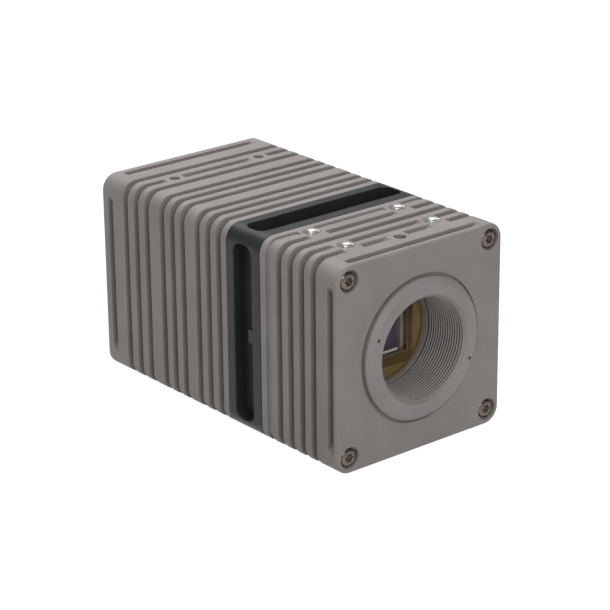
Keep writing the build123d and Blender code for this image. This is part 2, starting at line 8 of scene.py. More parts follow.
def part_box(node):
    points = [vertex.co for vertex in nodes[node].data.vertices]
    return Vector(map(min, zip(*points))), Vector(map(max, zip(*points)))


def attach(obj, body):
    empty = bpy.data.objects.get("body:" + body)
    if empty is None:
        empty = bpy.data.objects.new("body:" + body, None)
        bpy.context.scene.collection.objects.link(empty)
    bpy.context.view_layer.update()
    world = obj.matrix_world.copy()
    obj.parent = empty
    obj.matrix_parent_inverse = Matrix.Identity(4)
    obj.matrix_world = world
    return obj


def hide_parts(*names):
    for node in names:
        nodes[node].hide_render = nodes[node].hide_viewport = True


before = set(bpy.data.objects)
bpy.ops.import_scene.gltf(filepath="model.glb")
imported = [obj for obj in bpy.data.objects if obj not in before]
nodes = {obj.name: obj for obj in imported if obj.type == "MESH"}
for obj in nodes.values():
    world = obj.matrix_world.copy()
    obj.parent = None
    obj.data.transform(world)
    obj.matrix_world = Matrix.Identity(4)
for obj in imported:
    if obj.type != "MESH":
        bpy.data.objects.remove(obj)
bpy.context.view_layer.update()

# Front and rear housings: milled from aluminium bar, bead blasted and anodised in a warm grey. Blasting
# rounds their outer edges by a few tenths of a millimetre, and the round cutter leaves a slope at the end of
# each groove. Screws from both ends clamp them to the frame between them.
mm = 0.001
housing_edge = 0.27 * mm
groove_depth = 1.8 * mm
groove_end_width = 1.1 * mm
groove_end_reach = 0.65 * mm
corner_margin = 4.5 * mm
insert_radius = 2.05 * mm
insert_rim_edge = 0.08 * mm
insert_rim_reach = 2.3 * mm
flat_angle = radians(0.6)
sharp_angle = radians(28)
# Mixing of the dye bath shows as faint patches as wide as a fingertip.
dye_patch = 9 * mm
# Beads of 0.1 mm leave dents too fine to show, so the grain is drawn at 0.3 mm.
dent_size = 0.3 * mm
dent_height = 0.006 * mm


def linear(colour):
    """Turns an sRGB hex colour into linear red, green, blue and alpha."""
    parts = [int(colour[i:i + 2], 16) / 255 for i in (1, 3, 5)]
    return [c / 12.92 if c <= 0.04045 else ((c + 0.055) / 1.055) ** 2.4 for c in parts] + [1.0]


def add(material, kind, inputs=None, **settings):
    """Adds a node to a material, with its settings, and with values or sockets for its inputs."""
    node = material.node_tree.nodes.new("ShaderNode" + kind)
    for name, value in settings.items():
        setattr(node, name, value)
    for name, value in (inputs or {}).items():
        if isinstance(value, bpy.types.NodeSocket):
            material.node_tree.links.new(value, node.inputs[name])
        else:
            node.inputs[name].default_value = value
    return node


def empty_material(name):
    """Makes a material with no nodes."""
    material = bpy.data.materials.new(name)
    material.use_nodes = True
    material.node_tree.nodes.clear()
    return material


def mottled(material, first, second, size):
    """Colour that drifts between two close shades in patches of this size, in metres."""
    place = add(material, "TexCoord").outputs["Object"]
    noise = add(material, "TexNoise", {"Vector": place, "Scale": 1 / size, "Detail": 3.0, "Roughness": 0.55})
    spread = add(material, "MapRange", {"Value": noise.outputs["Fac"], "From Min": 0.35, "From Max": 0.65})
    blend = {"Factor": spread.outputs["Result"], 6: linear(first), 7: linear(second)}
    return add(material, "Mix", blend, data_type="RGBA").outputs[2]


def grain(material, size, height, stretch=(1, 1, 1)):
    """Bump of a random grain of this size and height in metres, drawn out where the stretch is below 1."""
    place = add(material, "TexCoord").outputs["Object"]
    scaled = add(material, "Mapping", {"Vector": place, "Scale": stretch}).outputs["Vector"]
    noise = add(material, "TexNoise", {"Vector": scaled, "Scale": 1 / size, "Detail": 2.0, "Roughness": 0.6})
    bump = {"Height": noise.outputs["Fac"], "Distance": height, "Strength": 1.0}
    return add(material, "Bump", bump).outputs["Normal"]


def finished(material, **inputs):
    """Closes a material with its surface shader, whose sockets are named with underscores for spaces."""
    named = {name.replace("_", " "): value for name, value in inputs.items()}
    shader = add(material, "BsdfPrincipled", named)
    add(material, "OutputMaterial", {"Surface": shader.outputs["BSDF"]})
    return material


def blasted_anodising(name, first, second, roughness, metallic):
    """Anodised aluminium: blasted metal under dyed oxide gives a matt colour with a broad soft gloss."""
    material = empty_material(name)
    colour = mottled(material, first, second, dye_patch)
    dents = grain(material, dent_size, dent_height)
    # Blasting traps part of the gloss, so the specular level is below that of a smooth oxide.
    gloss = 0.3
    return finished(
        material, Base_Color=colour, Metallic=metallic, Roughness=roughness, Specular_IOR_Level=gloss,
        Normal=dents,
    )


def slope_groove_ends(shape, depth):
    """Slopes the end walls of grooves of this depth at 45 degrees, moving their feet into the groove."""
    upright = 0.95
    floor_tolerance = 0.03 * mm
    wall_tolerance = 0.3 * depth
    shape.normal_update()
    corners = [vertex.co for vertex in shape.verts]
    low, high = ([limit(corner[axis] for corner in corners) for axis in range(3)] for limit in (min, max))
    moves = []
    for along, across in ((0, 2), (2, 0)):
        for surface, inward in ((low[across], 1), (high[across], -1)):
            end_walls = []
            for face in shape.faces:
                middle = face.calc_center_median()
                off_half_depth = abs(middle[across] - (surface + inward * depth / 2))
                if abs(face.normal[along]) > upright and off_half_depth < wall_tolerance:
                    end_walls.append((middle, depth if face.normal[along] > 0 else -depth))
            for vertex in shape.verts:
                if abs(vertex.co[across] - (surface + inward * depth)) > floor_tolerance:
                    continue
                if not low[along] + corner_margin < vertex.co[along] < high[along] - corner_margin:
                    continue
                for middle, shift in end_walls:
                    apart = vertex.co - middle
                    if abs(apart[along]) < groove_end_reach and abs(apart.y) < groove_end_width:
                        moves.append((vertex, along, shift))
                        break
    for vertex, along, shift in moves:
        vertex.co[along] += shift


def broken_edges(name, width, steps=3, fine_rims=(), groove=0.0):
    """Copies a machined node and rounds its outer edges by this width, or far less round these hole axes."""
    shape = bmesh.new()
    shape.from_mesh(nodes[name].data)
    bmesh.ops.remove_doubles(shape, verts=shape.verts, dist=0.002 * mm)
    bmesh.ops.dissolve_limit(shape, angle_limit=flat_angle, verts=shape.verts, edges=shape.edges)
    if groove:
        slope_groove_ends(shape, groove)
    for edge in shape.edges:
        edge.smooth = edge.is_convex or edge.calc_face_angle(0.0) < sharp_angle
    for edge_width, on_rim in ((insert_rim_edge, True), (width, False)):
        sharp = []
        for edge in shape.edges:
            middle = (edge.verts[0].co + edge.verts[1].co) / 2
            near = any((middle.xy - axis).length < insert_rim_reach for axis in fine_rims)
            if near == on_rim and edge.is_convex and edge.calc_face_angle() > sharp_angle:
                sharp.append(edge)
        bmesh.ops.bevel(
            shape, geom=sharp, offset=edge_width, offset_type="OFFSET", segments=steps, profile=0.5,
            affect="EDGES", clamp_overlap=False,
        )
    return shape


def placed(name, shape):
    """Turns a mesh under construction into an object of the scene."""
    mesh = bpy.data.meshes.new(name)
    shape.to_mesh(mesh)
    shape.free()
    made = bpy.data.objects.new(name, mesh)
    bpy.context.scene.collection.objects.link(made)
    return made


def piece(name, shape, finish, slot, *replaced, smooth=True):
    """Makes a piece of this mesh, with its finish, in place of the nodes that it replaces; its slot is not
    used.
    """
    bmesh.ops.recalc_face_normals(shape, faces=shape.faces)
    for face in shape.faces:
        face.smooth = smooth
    made = placed(name, shape)
    made.data.materials.append(finish)
    if smooth:
        flat_faces = made.modifiers.new("flat_faces", "WEIGHTED_NORMAL")
        flat_faces.weight = 80
        flat_faces.keep_sharp = True
    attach(made, "root")
    if replaced:
        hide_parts(*replaced)
    return made


def insert_axes():
    """Where the four thread inserts of the top stand, seen from above."""
    low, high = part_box("top_inserts")
    across = (low.x + insert_radius, high.x - insert_radius)
    along = (low.y + insert_radius, high.y - insert_radius)
    return [Vector((x, y)) for x in across for y in along]


housing_grey = blasted_anodising("grey_anodised_aluminium", "#9D9794", "#A49E9B", 0.62, 0.15)
front_shape = broken_edges("front_housing", housing_edge, fine_rims=insert_axes(), groove=groove_depth)
piece("front_housing_milled", front_shape, housing_grey, "housing_anodised", "front_housing")
rear_shape = broken_edges("rear_housing", housing_edge, groove=groove_depth)
piece("rear_housing_milled", rear_shape, housing_grey, "housing_anodised", "rear_housing")

# Spacer frame between the housings: milled aluminium with a blind window in each side, anodised black.
# The black dye leaves a cool grey bloom where light falls along the blasted surface.
frame_black = blasted_anodising("black_anodised_aluminium", "#2C2F32", "#323538", 0.42, 0.0)
frame_shape = broken_edges("spacer_frame", housing_edge)
piece("spacer_frame_milled", frame_shape, frame_black, "frame_anodised", "spacer_frame")

# Lens mount ring: turned from aluminium bar and anodised like the housings, with a one inch thread of 32
# turns to the inch. The thread is cut right through and ends in a short relief before the lip behind it.
# Two small holes in its face take the pin spanner that turns it.
ring_low, ring_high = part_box("mount_ring")
front_low, front_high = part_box("front_housing")
face_y = front_low.y
axis_z = (front_low.z + front_high.z) / 2
ring_front, ring_back = ring_low.y - face_y, ring_high.y - face_y
ring_radius = (ring_high.x - ring_low.x) / 2
seat_radius = 16.0 * mm
moat_floor = 0.7 * mm
ring_chamfer = 0.9 * mm
ring_chamfer_width = 1.25 * mm
ring_rounding = 0.22 * mm
ring_back_edge = 0.3 * mm
ring_steps = 192
thread_crest = 12.25 * mm
thread_depth = 0.55 * mm
thread_pitch = 25.4 / 32 * mm
thread_relief = 0.5 * mm
rows_per_pitch = 10
entry_chamfer = 0.85 * mm
spanner_circle = 15.1 * mm
spanner_radius = 0.45 * mm
spanner_depth = 2.0 * mm
spanner_angle = radians(22.5)
spanner_steps = 24


def lens_axis(x=0.0, z=0.0):
    """Places a turned shape with its axis along the camera, counted from the front face of the body."""
    return Matrix.Translation((x, face_y, axis_z + z)) @ Matrix.Rotation(radians(-90), 4, "X")


def rounded(points, radius, steps=4):
    """Rounds the corners of a profile between its two ends, where the neighbouring points leave room."""
    # Each corner takes up at most this share of the sides next to it.
    most = 0.45
    soft = [points[0]]
    for before, corner, after in zip(points, points[1:], points[2:]):
        before, corner, after = Vector(before), Vector(corner), Vector(after)
        room = min(radius, most * (before - corner).length, most * (after - corner).length)
        start = corner + (before - corner).normalized() * room
        end = corner + (after - corner).normalized() * room
        for i in range(steps + 1):
            t = i / steps
            soft.append(tuple(start * (1 - t) ** 2 + corner * 2 * t * (1 - t) + end * t ** 2))
    return soft + [points[-1]]


def turned(shape, place, profile, steps, closed=False):
    """Turns a profile of (distance, radius) about an axis; a radius may be a function of the angle."""
    rings = []
    for distance, radius in profile:
        ring = []
        for k in range(steps):
            angle = 2 * pi * k / steps
            reach = radius(angle) if callable(radius) else radius
            ring.append(shape.verts.new(place @ Vector((reach * cos(angle), reach * sin(angle), distance))))
        rings.append(ring)
    pairs = list(zip(rings, rings[1:]))
    if closed:
        pairs.append((rings[-1], rings[0]))
    else:
        shape.faces.new(rings[0])
        shape.faces.new(rings[-1])
    for first, second in pairs:
        for k in range(steps):
            after = (k + 1) % steps
            shape.faces.new((first[k], first[after], second[after], second[k]))


def thread_ridge(position, pitch):
    """Height of a thread's ridge from 0 at its root to 1 at its crest, at this place along one pitch."""
    # Steeper than a plain triangle, so a flat is left at the crest and a narrow one at the root.
    steepness, root_flat = 1.3, 0.05
    phase = position / pitch - floor(position / pitch)
    rise = abs(2 * phase - 1) * steepness - root_flat
    return min(max(rise, 0.0), 1.0)


def threaded_bore(start, end, crest, depth, pitch, entry, rows, relief=0.0):
    """Profile of an internal thread that winds with the angle, fades at its mouth and stops at a relief."""
    profile = []
    for i in range(rows + 1):
        distance = start + (end - start) * i / rows
        mouth = crest + max(0.0, entry - (distance - start))

        def radius(angle, distance=distance, mouth=mouth):
            ridge = crest + depth * (1 - thread_ridge(distance - pitch * angle / (2 * pi), pitch))
            if distance > end - relief:
                ridge = crest + depth
            return max(ridge, mouth)

        profile.append((distance, radius))
    return profile


ring = bmesh.new()
outside = rounded([
    (ring_back, thread_crest + thread_depth + ring_back_edge),
    (ring_back, seat_radius),
    (moat_floor, seat_radius),
    (moat_floor, ring_radius),
    (ring_front + ring_chamfer, ring_radius),
    (ring_front, ring_radius - ring_chamfer_width),
    (ring_front, thread_crest + entry_chamfer),
], ring_rounding)
thread_rows = round((ring_back - ring_front) / thread_pitch * rows_per_pitch)
inside = threaded_bore(
    ring_front, ring_back, thread_crest, thread_depth, thread_pitch, entry_chamfer, thread_rows, thread_relief
)
turned(ring, lens_axis(), outside + inside[1:-1], ring_steps, closed=True)

# The ring's anodising is the housings' matt grey. Inside the thread, beyond its mouth, the colour follows the
# distance from the lens axis: painted shade darkens the roots, and a painted highlight lightens the crests.
# Where the painted shade and highlight fade, counted outwards from the crest, and inwards from the ring's
# front.
root_start, root_full = 0.08 * mm, 0.4 * mm
crest_full, crest_end = 0.02 * mm, 0.16 * mm
mouth_end, thread_full = 1.1 * mm, 2.2 * mm
thread_reach = thread_crest + thread_depth + 0.1 * mm
ring_grey = empty_material("grey_anodised_ring")
ring_place = add(ring_grey, "TexCoord").outputs["Object"]
on_axis, across_axis = (0.0, 0.0, axis_z), (1.0, 0.0, 1.0)
from_axis = add(ring_grey, "VectorMath", {0: ring_place, 1: on_axis}, operation="SUBTRACT").outputs[0]
radial = add(ring_grey, "VectorMath", {0: from_axis, 1: across_axis}, operation="MULTIPLY").outputs[0]
reach = add(ring_grey, "VectorMath", {0: radial}, operation="LENGTH").outputs["Value"]
painted_root_shade = add(ring_grey, "MapRange", {
    "Value": reach, "From Min": thread_crest + root_start, "From Max": thread_crest + root_full,
}).outputs["Result"]
painted_crest_highlight = add(ring_grey, "MapRange", {
    "Value": reach, "From Min": thread_crest + crest_full, "From Max": thread_crest + crest_end,
    "To Min": 1.0, "To Max": 0.0,
}).outputs["Result"]
within_thread = add(ring_grey, "Math", {0: reach, 1: thread_reach}, operation="LESS_THAN").outputs[0]
depth_in = add(ring_grey, "SeparateXYZ", {0: ring_place}).outputs["Y"]
past_mouth = add(ring_grey, "MapRange", {
    "Value": depth_in,
    "From Min": face_y + ring_front + mouth_end,
    "From Max": face_y + ring_front + thread_full,
}).outputs["Result"]
in_bore = add(ring_grey, "Math", {0: past_mouth, 1: within_thread}, operation="MULTIPLY").outputs[0]
ring_tone_and_painted_light = mottled(ring_grey, "#9C9795", "#A39E9C", dye_patch)
# Painted shade on the thread's roots and a painted highlight on its crests, mixed over the ring's grey.
for share, tone in ((painted_root_shade, "#464242"), (painted_crest_highlight, "#C6C0BC")):
    painted_light_share = add(ring_grey, "Math", {0: share, 1: in_bore}, operation="MULTIPLY").outputs[0]
    blend = {"Factor": painted_light_share, 6: ring_tone_and_painted_light, 7: linear(tone)}
    ring_tone_and_painted_light = add(ring_grey, "Mix", blend, data_type="RGBA").outputs[2]
ring_dents = grain(ring_grey, dent_size, dent_height)
finished(ring_grey, Base_Color=ring_tone_and_painted_light, Metallic=0.15, Roughness=0.58, Normal=ring_dents)
ring_piece = piece("mount_ring_threaded", ring, ring_grey, "ring_anodised", "mount_ring")

# The spanner holes are drilled after the ring is turned.
drills = bmesh.new()
for turn in (pi - spanner_angle, -spanner_angle):
    place = lens_axis(spanner_circle * cos(turn), spanner_circle * sin(turn))
    hole = [(ring_front - spanner_depth, spanner_radius), (ring_front + spanner_depth, spanner_radius)]
    turned(drills, place, hole, spanner_steps)
bmesh.ops.recalc_face_normals(drills, faces=drills.faces)
drill = placed("spanner_drills", drills)
cut = ring_piece.modifiers.new("spanner_holes", "BOOLEAN")
cut.object = drill
cut.operation = "DIFFERENCE"
cut.solver = "EXACT"
bpy.context.view_layer.update()
drilled = bpy.data.meshes.new_from_object(ring_piece.evaluated_get(bpy.context.evaluated_depsgraph_get()))
ring_piece.modifiers.clear()
ring_piece.data = drilled
bpy.data.objects.remove(drill)

# Screws of the front face: stainless steel with a low domed head and a six-lobe recess, in counterbores.
# Cold forming leaves the heads bright, with a soft edge and a darker recess.
front_screw_inset = 3.8 * mm
shank_radius = 1.25 * mm
head_sink = 0.25 * mm
head_height = 1.0 * mm
head_radius = 2.2 * mm
head_edge_drop = 0.4 * mm
dome_radius = 1.65 * mm
dome_drop = 0.06 * mm
flat_radius = 1.2 * mm
head_rounding = 0.25 * mm
head_steps = 48
recess_depth = 0.85 * mm
recess_point = 0.2 * mm
recess_foot, foot_share = 0.8 * mm, 0.8
recess_wall, wall_share = 0.94 * mm, 0.1
recess_mouth = 1.04 * mm
recess_reach = 1.15 * mm
lobe_swing = 0.17
face_tolerance = 0.02 * mm
half_width = (front_high.x - front_low.x) / 2
half_height = (front_high.z - front_low.z) / 2
front_screw_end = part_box("front_screws")[1].y - face_y


def steel(name, first, second, roughness):
    """Bright steel: a plain metal whose fine turning marks spread each highlight a little."""
    material = empty_material(name)
    colour = mottled(material, first, second, 1.5 * mm)
    # Turning marks are about 0.05 mm apart, and are drawn at 0.12 mm so that they show.
    marks = grain(material, 0.12 * mm, 0.002 * mm)
    return finished(material, Base_Color=colour, Metallic=1.0, Roughness=roughness, Normal=marks)


def lobes(size):
    """Radius of a six-lobe recess by angle, for this mean size."""
    return lambda angle: size * (1 + lobe_swing * cos(6 * angle))


def recess(face, depth):
    """Profile of a six-lobe recess from its floor to the face that it is pressed into."""
    return [
        (face + depth, recess_point),
        (face + depth * foot_share, lobes(recess_foot)),
        (face + depth * wall_share, lobes(recess_wall)),
        (face, lobes(recess_mouth)),
    ]


def darken_recess(shape, place, face, depth):
    """Gives the walls and floor of a pressed recess the second finish of its piece."""
    undo = place.inverted()
    inward = 1 if depth > 0 else -1
    for part in shape.faces:
        point = undo @ part.calc_center_median()
        if point.xy.length < recess_reach and face_tolerance < (point.z - face) * inward <= abs(depth):
            part.material_index = 1


def corner_screws(inset, face, depth, head):
    """Four screws at this inset from the body's sides, each a recess in its face with its head and shank."""
    shape = bmesh.new()
    for across in (-1, 1):
        for up in (-1, 1):
            place = lens_axis(across * (half_width - inset), up * (half_height - inset))
            turned(shape, place, recess(face, depth) + head, head_steps)
            darken_recess(shape, place, face, depth)
    return shape


stainless = steel("bright_stainless_steel", "#6C645E", "#787069", 0.25)
# The punch leaves the recess unpolished, so it is duller than the head.
recess_steel = steel("unpolished_recess_steel", "#5C534C", "#675E56", 0.5)
front_head = rounded([
    (head_sink, flat_radius),
    (head_sink + dome_drop, dome_radius),
    (head_sink + head_edge_drop, head_radius),
    (head_sink + head_height, head_radius),
    (head_sink + head_height, shank_radius),
    (front_screw_end, shank_radius),
], head_rounding)
front_heads = corner_screws(front_screw_inset, head_sink, recess_depth, front_head)
heads_piece = piece("front_screw_heads", front_heads, stainless, "stainless_steel", "front_screws")
heads_piece.data.materials.append(recess_steel)

# Lock screw of the ring: a black grub screw deep in the plain hole of the top face.
# Black oxide on steel is a thin dark film, smoother than the anodising round it.


def coat(finish, *names):
    """Gives these plain solids a finish, on their own mesh."""
    for name in names:
        for material_slot in nodes[name].material_slots:
            material_slot.material = finish


black_oxide = steel("black_oxide_steel", "#26262A", "#303034", 0.42)
coat(black_oxide, "ring_lock_screw")

# Thread inserts of the top and the underside: turned stainless sleeves with a fine metric thread, pressed
# into the housing. Their bores are left bright, and their ends are blasted together with the housing.
insert_pitch = 0.5 * mm
insert_crest = 1.5 * mm
insert_thread_depth = 0.2 * mm
insert_rows = 48
insert_entry = 0.45 * mm
insert_foot_edge = 0.35 * mm
insert_rounding = 0.12 * mm
insert_steps = 64
bright_insert = steel("bright_turned_steel", "#E9E7E5", "#F2F1EF", 0.3)
# The blasted ends are duller than the bores.
faced_insert = steel("blasted_insert_ends", "#94908C", "#9F9B97", 0.55)
for group, up in (("top_inserts", 1), ("bottom_inserts", -1)):
    low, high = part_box(group)
    length = high.z - low.z
    end_height = high.z if up == 1 else low.z
    sleeve = rounded([
        (length, insert_crest + insert_foot_edge),
        (length, insert_radius),
        (0.0, insert_radius),
        (0.0, insert_crest + insert_entry),
    ], insert_rounding)
    bore = threaded_bore(
        0.0, length, insert_crest, insert_thread_depth, insert_pitch, insert_entry, insert_rows
    )
    sleeves = bmesh.new()
    for x, y in insert_axes():
        place = Matrix.Translation((x, y, end_height))
        if up == 1:
            place = place @ Matrix.Rotation(pi, 4, "X")
        turned(sleeves, place, sleeve + bore[1:-1], insert_steps, closed=True)
    for face in sleeves.faces:
        if abs(face.calc_center_median().z - end_height) < face_tolerance:
            face.material_index = 1
    sleeves_piece = piece(group + "_threaded", sleeves, bright_insert, "insert_steel", group)
    sleeves_piece.data.materials.append(faced_insert)

# Detector: a metal package with a stepped lid, a glass window let into it, and the chip on a ceramic carrier.
# The package is brazed and gold plated, and the carrier stands on a cooler of two ceramic plates.
gold = empty_material("gold_plated_package")
# Gold over nickel is smooth but a little wavy, so it gives broad, uneven reflections.
gold_colour = mottled(gold, "#B4996A", "#C0A575", 4 * mm)
gold_wave = grain(gold, 0.6 * mm, 0.006 * mm)
finished(gold, Base_Color=gold_colour, Metallic=0.6, Roughness=0.5, Normal=gold_wave)
coat(gold, "sensor_package", "package_lid")
# Contacts are plated over polished brass, so they are brighter and yellower.
gold_contact = empty_material("gold_plated_contacts")
contact_colour = mottled(gold_contact, "#C79A45", "#D6AA55", 1 * mm)
finished(gold_contact, Base_Color=contact_colour, Metallic=1.0, Roughness=0.22)
coat(gold_contact, "package_pins", "jack_contacts")
# Alumina is pressed and fired: matt brown, with a grain of about 0.15 mm.
ceramic = empty_material("brown_alumina")
ceramic_colour = mottled(ceramic, "#8E8266", "#9C8F72", 0.8 * mm)
ceramic_grain = grain(ceramic, 0.15 * mm, 0.003 * mm)
finished(ceramic, Base_Color=ceramic_colour, Roughness=0.45, IOR=1.76, Normal=ceramic_grain)
coat(ceramic, "bond_carrier", "thermoelectric_cooler")
# The die's border of circuits is polished silicon under a thin oxide, dark olive and smooth.
die = empty_material("silicon_readout_chip")
die_colour = mottled(die, "#625F50", "#6C6958", 3 * mm)
finished(die, Base_Color=die_colour, Metallic=0.2, Roughness=0.3)
coat(die, "sensor_chip")
# The window is polished and coated against reflections, so it is nearly invisible. It casts no dark shadow.
glass = empty_material("coated_window_glass")
glass_colour = linear("#FEFDFF")
pane = add(glass, "BsdfPrincipled", {
    "Base Color": glass_colour, "Roughness": 0.02, "IOR": 1.45, "Transmission Weight": 1.0,
    "Normal": grain(glass, 4 * mm, 0.001 * mm),
})
clear = add(glass, "BsdfTransparent", {"Color": glass_colour})
shadow = add(glass, "LightPath").outputs["Is Shadow Ray"]
both = add(glass, "MixShader", {"Fac": shadow, 1: pane.outputs["BSDF"], 2: clear.outputs["BSDF"]})
add(glass, "OutputMaterial", {"Surface": both.outputs["Shader"]})
coat(glass, "sensor_window")

# Bond pads, readout strips and pixel field: thin films on the carrier and the die. The pads stand in two rows
# on each side and show as a comb through the window, and a dark bead of epoxy seals the die's edge.
# Such films are only some micrometres thick, and are drawn at 0.05 mm so that they show.
film_height = 0.05 * mm
# Real pads are about 0.15 mm apart, and are drawn at 0.5 mm so that they show.
pad_pitch = 0.5 * mm
pad_width = 0.24 * mm
pad_length = 0.75 * mm
pad_rows = (8.85 * mm, 10.0 * mm)
pad_row_length = 13.6 * mm
array_reach = (6.7 * mm, 6.2 * mm)
strip_inner, strip_outer = 6.45 * mm, 7.1 * mm
strip_overhang = 0.2 * mm
bead_widths = (0.1 * mm, 0.25 * mm)
bead_sink = 0.04 * mm
carrier_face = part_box("bond_carrier")[0].y
chip_low, chip_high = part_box("sensor_chip")
chip_face = chip_low.y
chip_half_height = chip_high.z - axis_z


def block(shape, low, high):
    """Adds a plain block between two corners."""
    size = Vector(high) - Vector(low)
    middle = (Vector(high) + Vector(low)) / 2
    place = Matrix.Translation(middle) @ Matrix.Diagonal((*size, 1.0))
    bmesh.ops.create_cube(shape, size=1.0, matrix=place)


pads = bmesh.new()
pad_face = carrier_face - film_height
for row in pad_rows:
    count = round(pad_row_length / pad_pitch)
    for i in range(count):
        z = axis_z + (i - (count - 1) / 2) * pad_pitch
        for side in (-1, 1):
            x = side * row
            edges = sorted((x - pad_length / 2, x + pad_length / 2))
            block(pads, (edges[0], pad_face, z - pad_width / 2), (edges[1], carrier_face, z + pad_width / 2))
# Fired silver paste is pale and matt.
pad_metal = empty_material("silvered_bond_pads")
pad_colour = mottled(pad_metal, "#EBE5D3", "#F5EFDF", 1 * mm)
finished(pad_metal, Base_Color=pad_colour, Metallic=0.15, Roughness=0.5)
piece("bond_pads", pads, pad_metal, "gold_plate", smooth=False)
strips = bmesh.new()
for up in (-1, 1):
    edges = sorted((up * strip_inner, up * strip_outer))
    low = (-array_reach[0], chip_face - film_height, axis_z + edges[0])
    block(strips, low, (array_reach[0] + strip_overhang, chip_face, axis_z + edges[1]))
# Evaporated aluminium is a fine white metal that scatters light.
strip_metal = empty_material("evaporated_aluminium")
strip_colour = mottled(strip_metal, "#E6E5E3", "#EFEEEC", 1 * mm)
finished(strip_metal, Base_Color=strip_colour, Metallic=0.3, Roughness=0.5)
piece("readout_strips", strips, strip_metal, "detector_die", smooth=False)
# The absorber is a smooth crystal layer with a violet interference colour.
absorber = empty_material("violet_absorber")
absorber_colour = mottled(absorber, "#544A5F", "#5D5268", 3 * mm)
finished(absorber, Base_Color=absorber_colour, Metallic=0.2, Roughness=0.3)
array = bmesh.new()
array_low = (-array_reach[0], chip_face - film_height, axis_z - array_reach[1])
block(array, array_low, (array_reach[0], chip_face, axis_z + array_reach[1]))
piece("pixel_array", array, absorber, "detector_die", smooth=False)
bead_face = chip_face + bead_sink
bead_reach = (chip_high.x + bead_widths[0], chip_half_height + bead_widths[1])
bead = bmesh.new()
for side in (-1, 1):
    edges = sorted((side * chip_high.x, side * bead_reach[0]))
    low = (edges[0], bead_face, axis_z - bead_reach[1])
    block(bead, low, (edges[1], carrier_face, axis_z + bead_reach[1]))
    edges = sorted((side * chip_half_height, side * bead_reach[1]))
    low = (chip_low.x, bead_face, axis_z + edges[0])
    block(bead, low, (chip_high.x, carrier_face, axis_z + edges[1]))
# Cured epoxy is black with a soft gloss.
epoxy = empty_material("black_epoxy")
epoxy_colour = mottled(epoxy, "#0E0D0C", "#141312", 1 * mm)
finished(epoxy, Base_Color=epoxy_colour, Roughness=0.35, IOR=1.55)
piece("die_bead", bead, epoxy, "alumina", smooth=False)

# Seal and thermal pad: soft silicone, pressed between the package and the metal on either side of it.
# Silicone is matt with a faint waxy sheen.
silicone = empty_material("grey_silicone")
silicone_colour = mottled(silicone, "#3A3B3D", "#434446", 1.2 * mm)
silicone_grain = grain(silicone, 0.4 * mm, 0.01 * mm)
finished(silicone, Base_Color=silicone_colour, Roughness=0.7, IOR=1.41, Normal=silicone_grain)
coat(silicone, "package_seal", "thermal_pad")

# Heat spreader: plain rolled aluminium plate, with the long fine lines that rolling leaves.
# It is neither blasted nor anodised, because the housing hides it.
rolled = empty_material("rolled_aluminium")
rolled_colour = mottled(rolled, "#C4C6C8", "#D0D2D4", 6 * mm)
# Rolling lines are about 0.05 mm apart, and are drawn at 0.3 mm so that they show.
rolled_lines = grain(rolled, 0.3 * mm, 0.004 * mm, stretch=(1, 1, 0.05))
finished(rolled, Base_Color=rolled_colour, Metallic=1.0, Roughness=0.35, Normal=rolled_lines)
coat(rolled, "heat_spreader")

# Circuit boards: glass fibre laminate under green solder mask, with copper tracks that lift it in fine lines.
# The mask is glossy, and a shade lighter over copper.
# Real tracks are about 0.3 mm apart, and are drawn at 1.2 mm so that they show.
track_pitch = 1.2 * mm
track_height = 0.03 * mm
laminate = empty_material("green_masked_laminate")
board_place = add(laminate, "TexCoord").outputs["Object"]
tracks = add(laminate, "TexBrick", {
    "Vector": board_place, "Scale": 1 / (4 * track_pitch), "Mortar Size": 0.06,
    "Color1": linear("#1F5A36"), "Color2": linear("#236340"), "Mortar": linear("#2F7A4C"),
})
track_bump = add(laminate, "Bump", {"Height": tracks.outputs["Fac"], "Distance": track_height})
finished(
    laminate, Base_Color=tracks.outputs["Color"], Roughness=0.3, IOR=1.52, Normal=track_bump.outputs["Normal"]
)
coat(laminate, "sensor_board", "processor_board", "power_board", "interface_board")

# Pillars of the stack: hexagonal brass bar, cut to length and tapped at both ends.
# Drawn brass has lines along the bar and a warm, slightly dull gloss.
brass = empty_material("drawn_brass")
brass_colour = mottled(brass, "#B4924F", "#C2A05C", 3 * mm)
# Lines of the drawing die are about 0.05 mm apart, and are drawn at 0.15 mm so that they show.
drawn_lines = grain(brass, 0.15 * mm, 0.003 * mm, stretch=(1, 0.04, 1))
finished(brass, Base_Color=brass_colour, Metallic=1.0, Roughness=0.3, Normal=drawn_lines)
coat(brass, "sensor_standoffs", "processor_standoffs", "power_standoffs", "interface_standoffs")

# Chips, board connectors and the inside of both sockets: black moulded plastic.
# The mould is spark eroded, which leaves a fine even texture of about 0.1 mm.
jack_edge = 0.12 * mm
moulded = empty_material("black_moulded_plastic")
moulded_colour = mottled(moulded, "#17181A", "#1E1F22", 1 * mm)
moulded_texture = grain(moulded, 0.12 * mm, 0.006 * mm)
finished(moulded, Base_Color=moulded_colour, Roughness=0.5, IOR=1.53, Normal=moulded_texture)
coat(moulded, "board_plugs", "board_sockets", "io_insert")
coat(moulded, "sensor_board_chips", "processor_board_chips", "power_board_parts", "interface_board_parts")
jack_shape = broken_edges("jack_housing", jack_edge, steps=2)
piece("jack_housing_moulded", jack_shape, moulded, "moulded_black", "jack_housing")

# Rear cover: a plate of the same blasted and anodised aluminium, let into the end of the rear housing.
# It is cut from sheet, so its edges are broken only lightly.
cover_edge = 0.12 * mm
cover_shape = broken_edges("rear_cover", cover_edge, steps=2)
piece("rear_cover_blasted", cover_shape, housing_grey, "housing_anodised", "rear_cover")

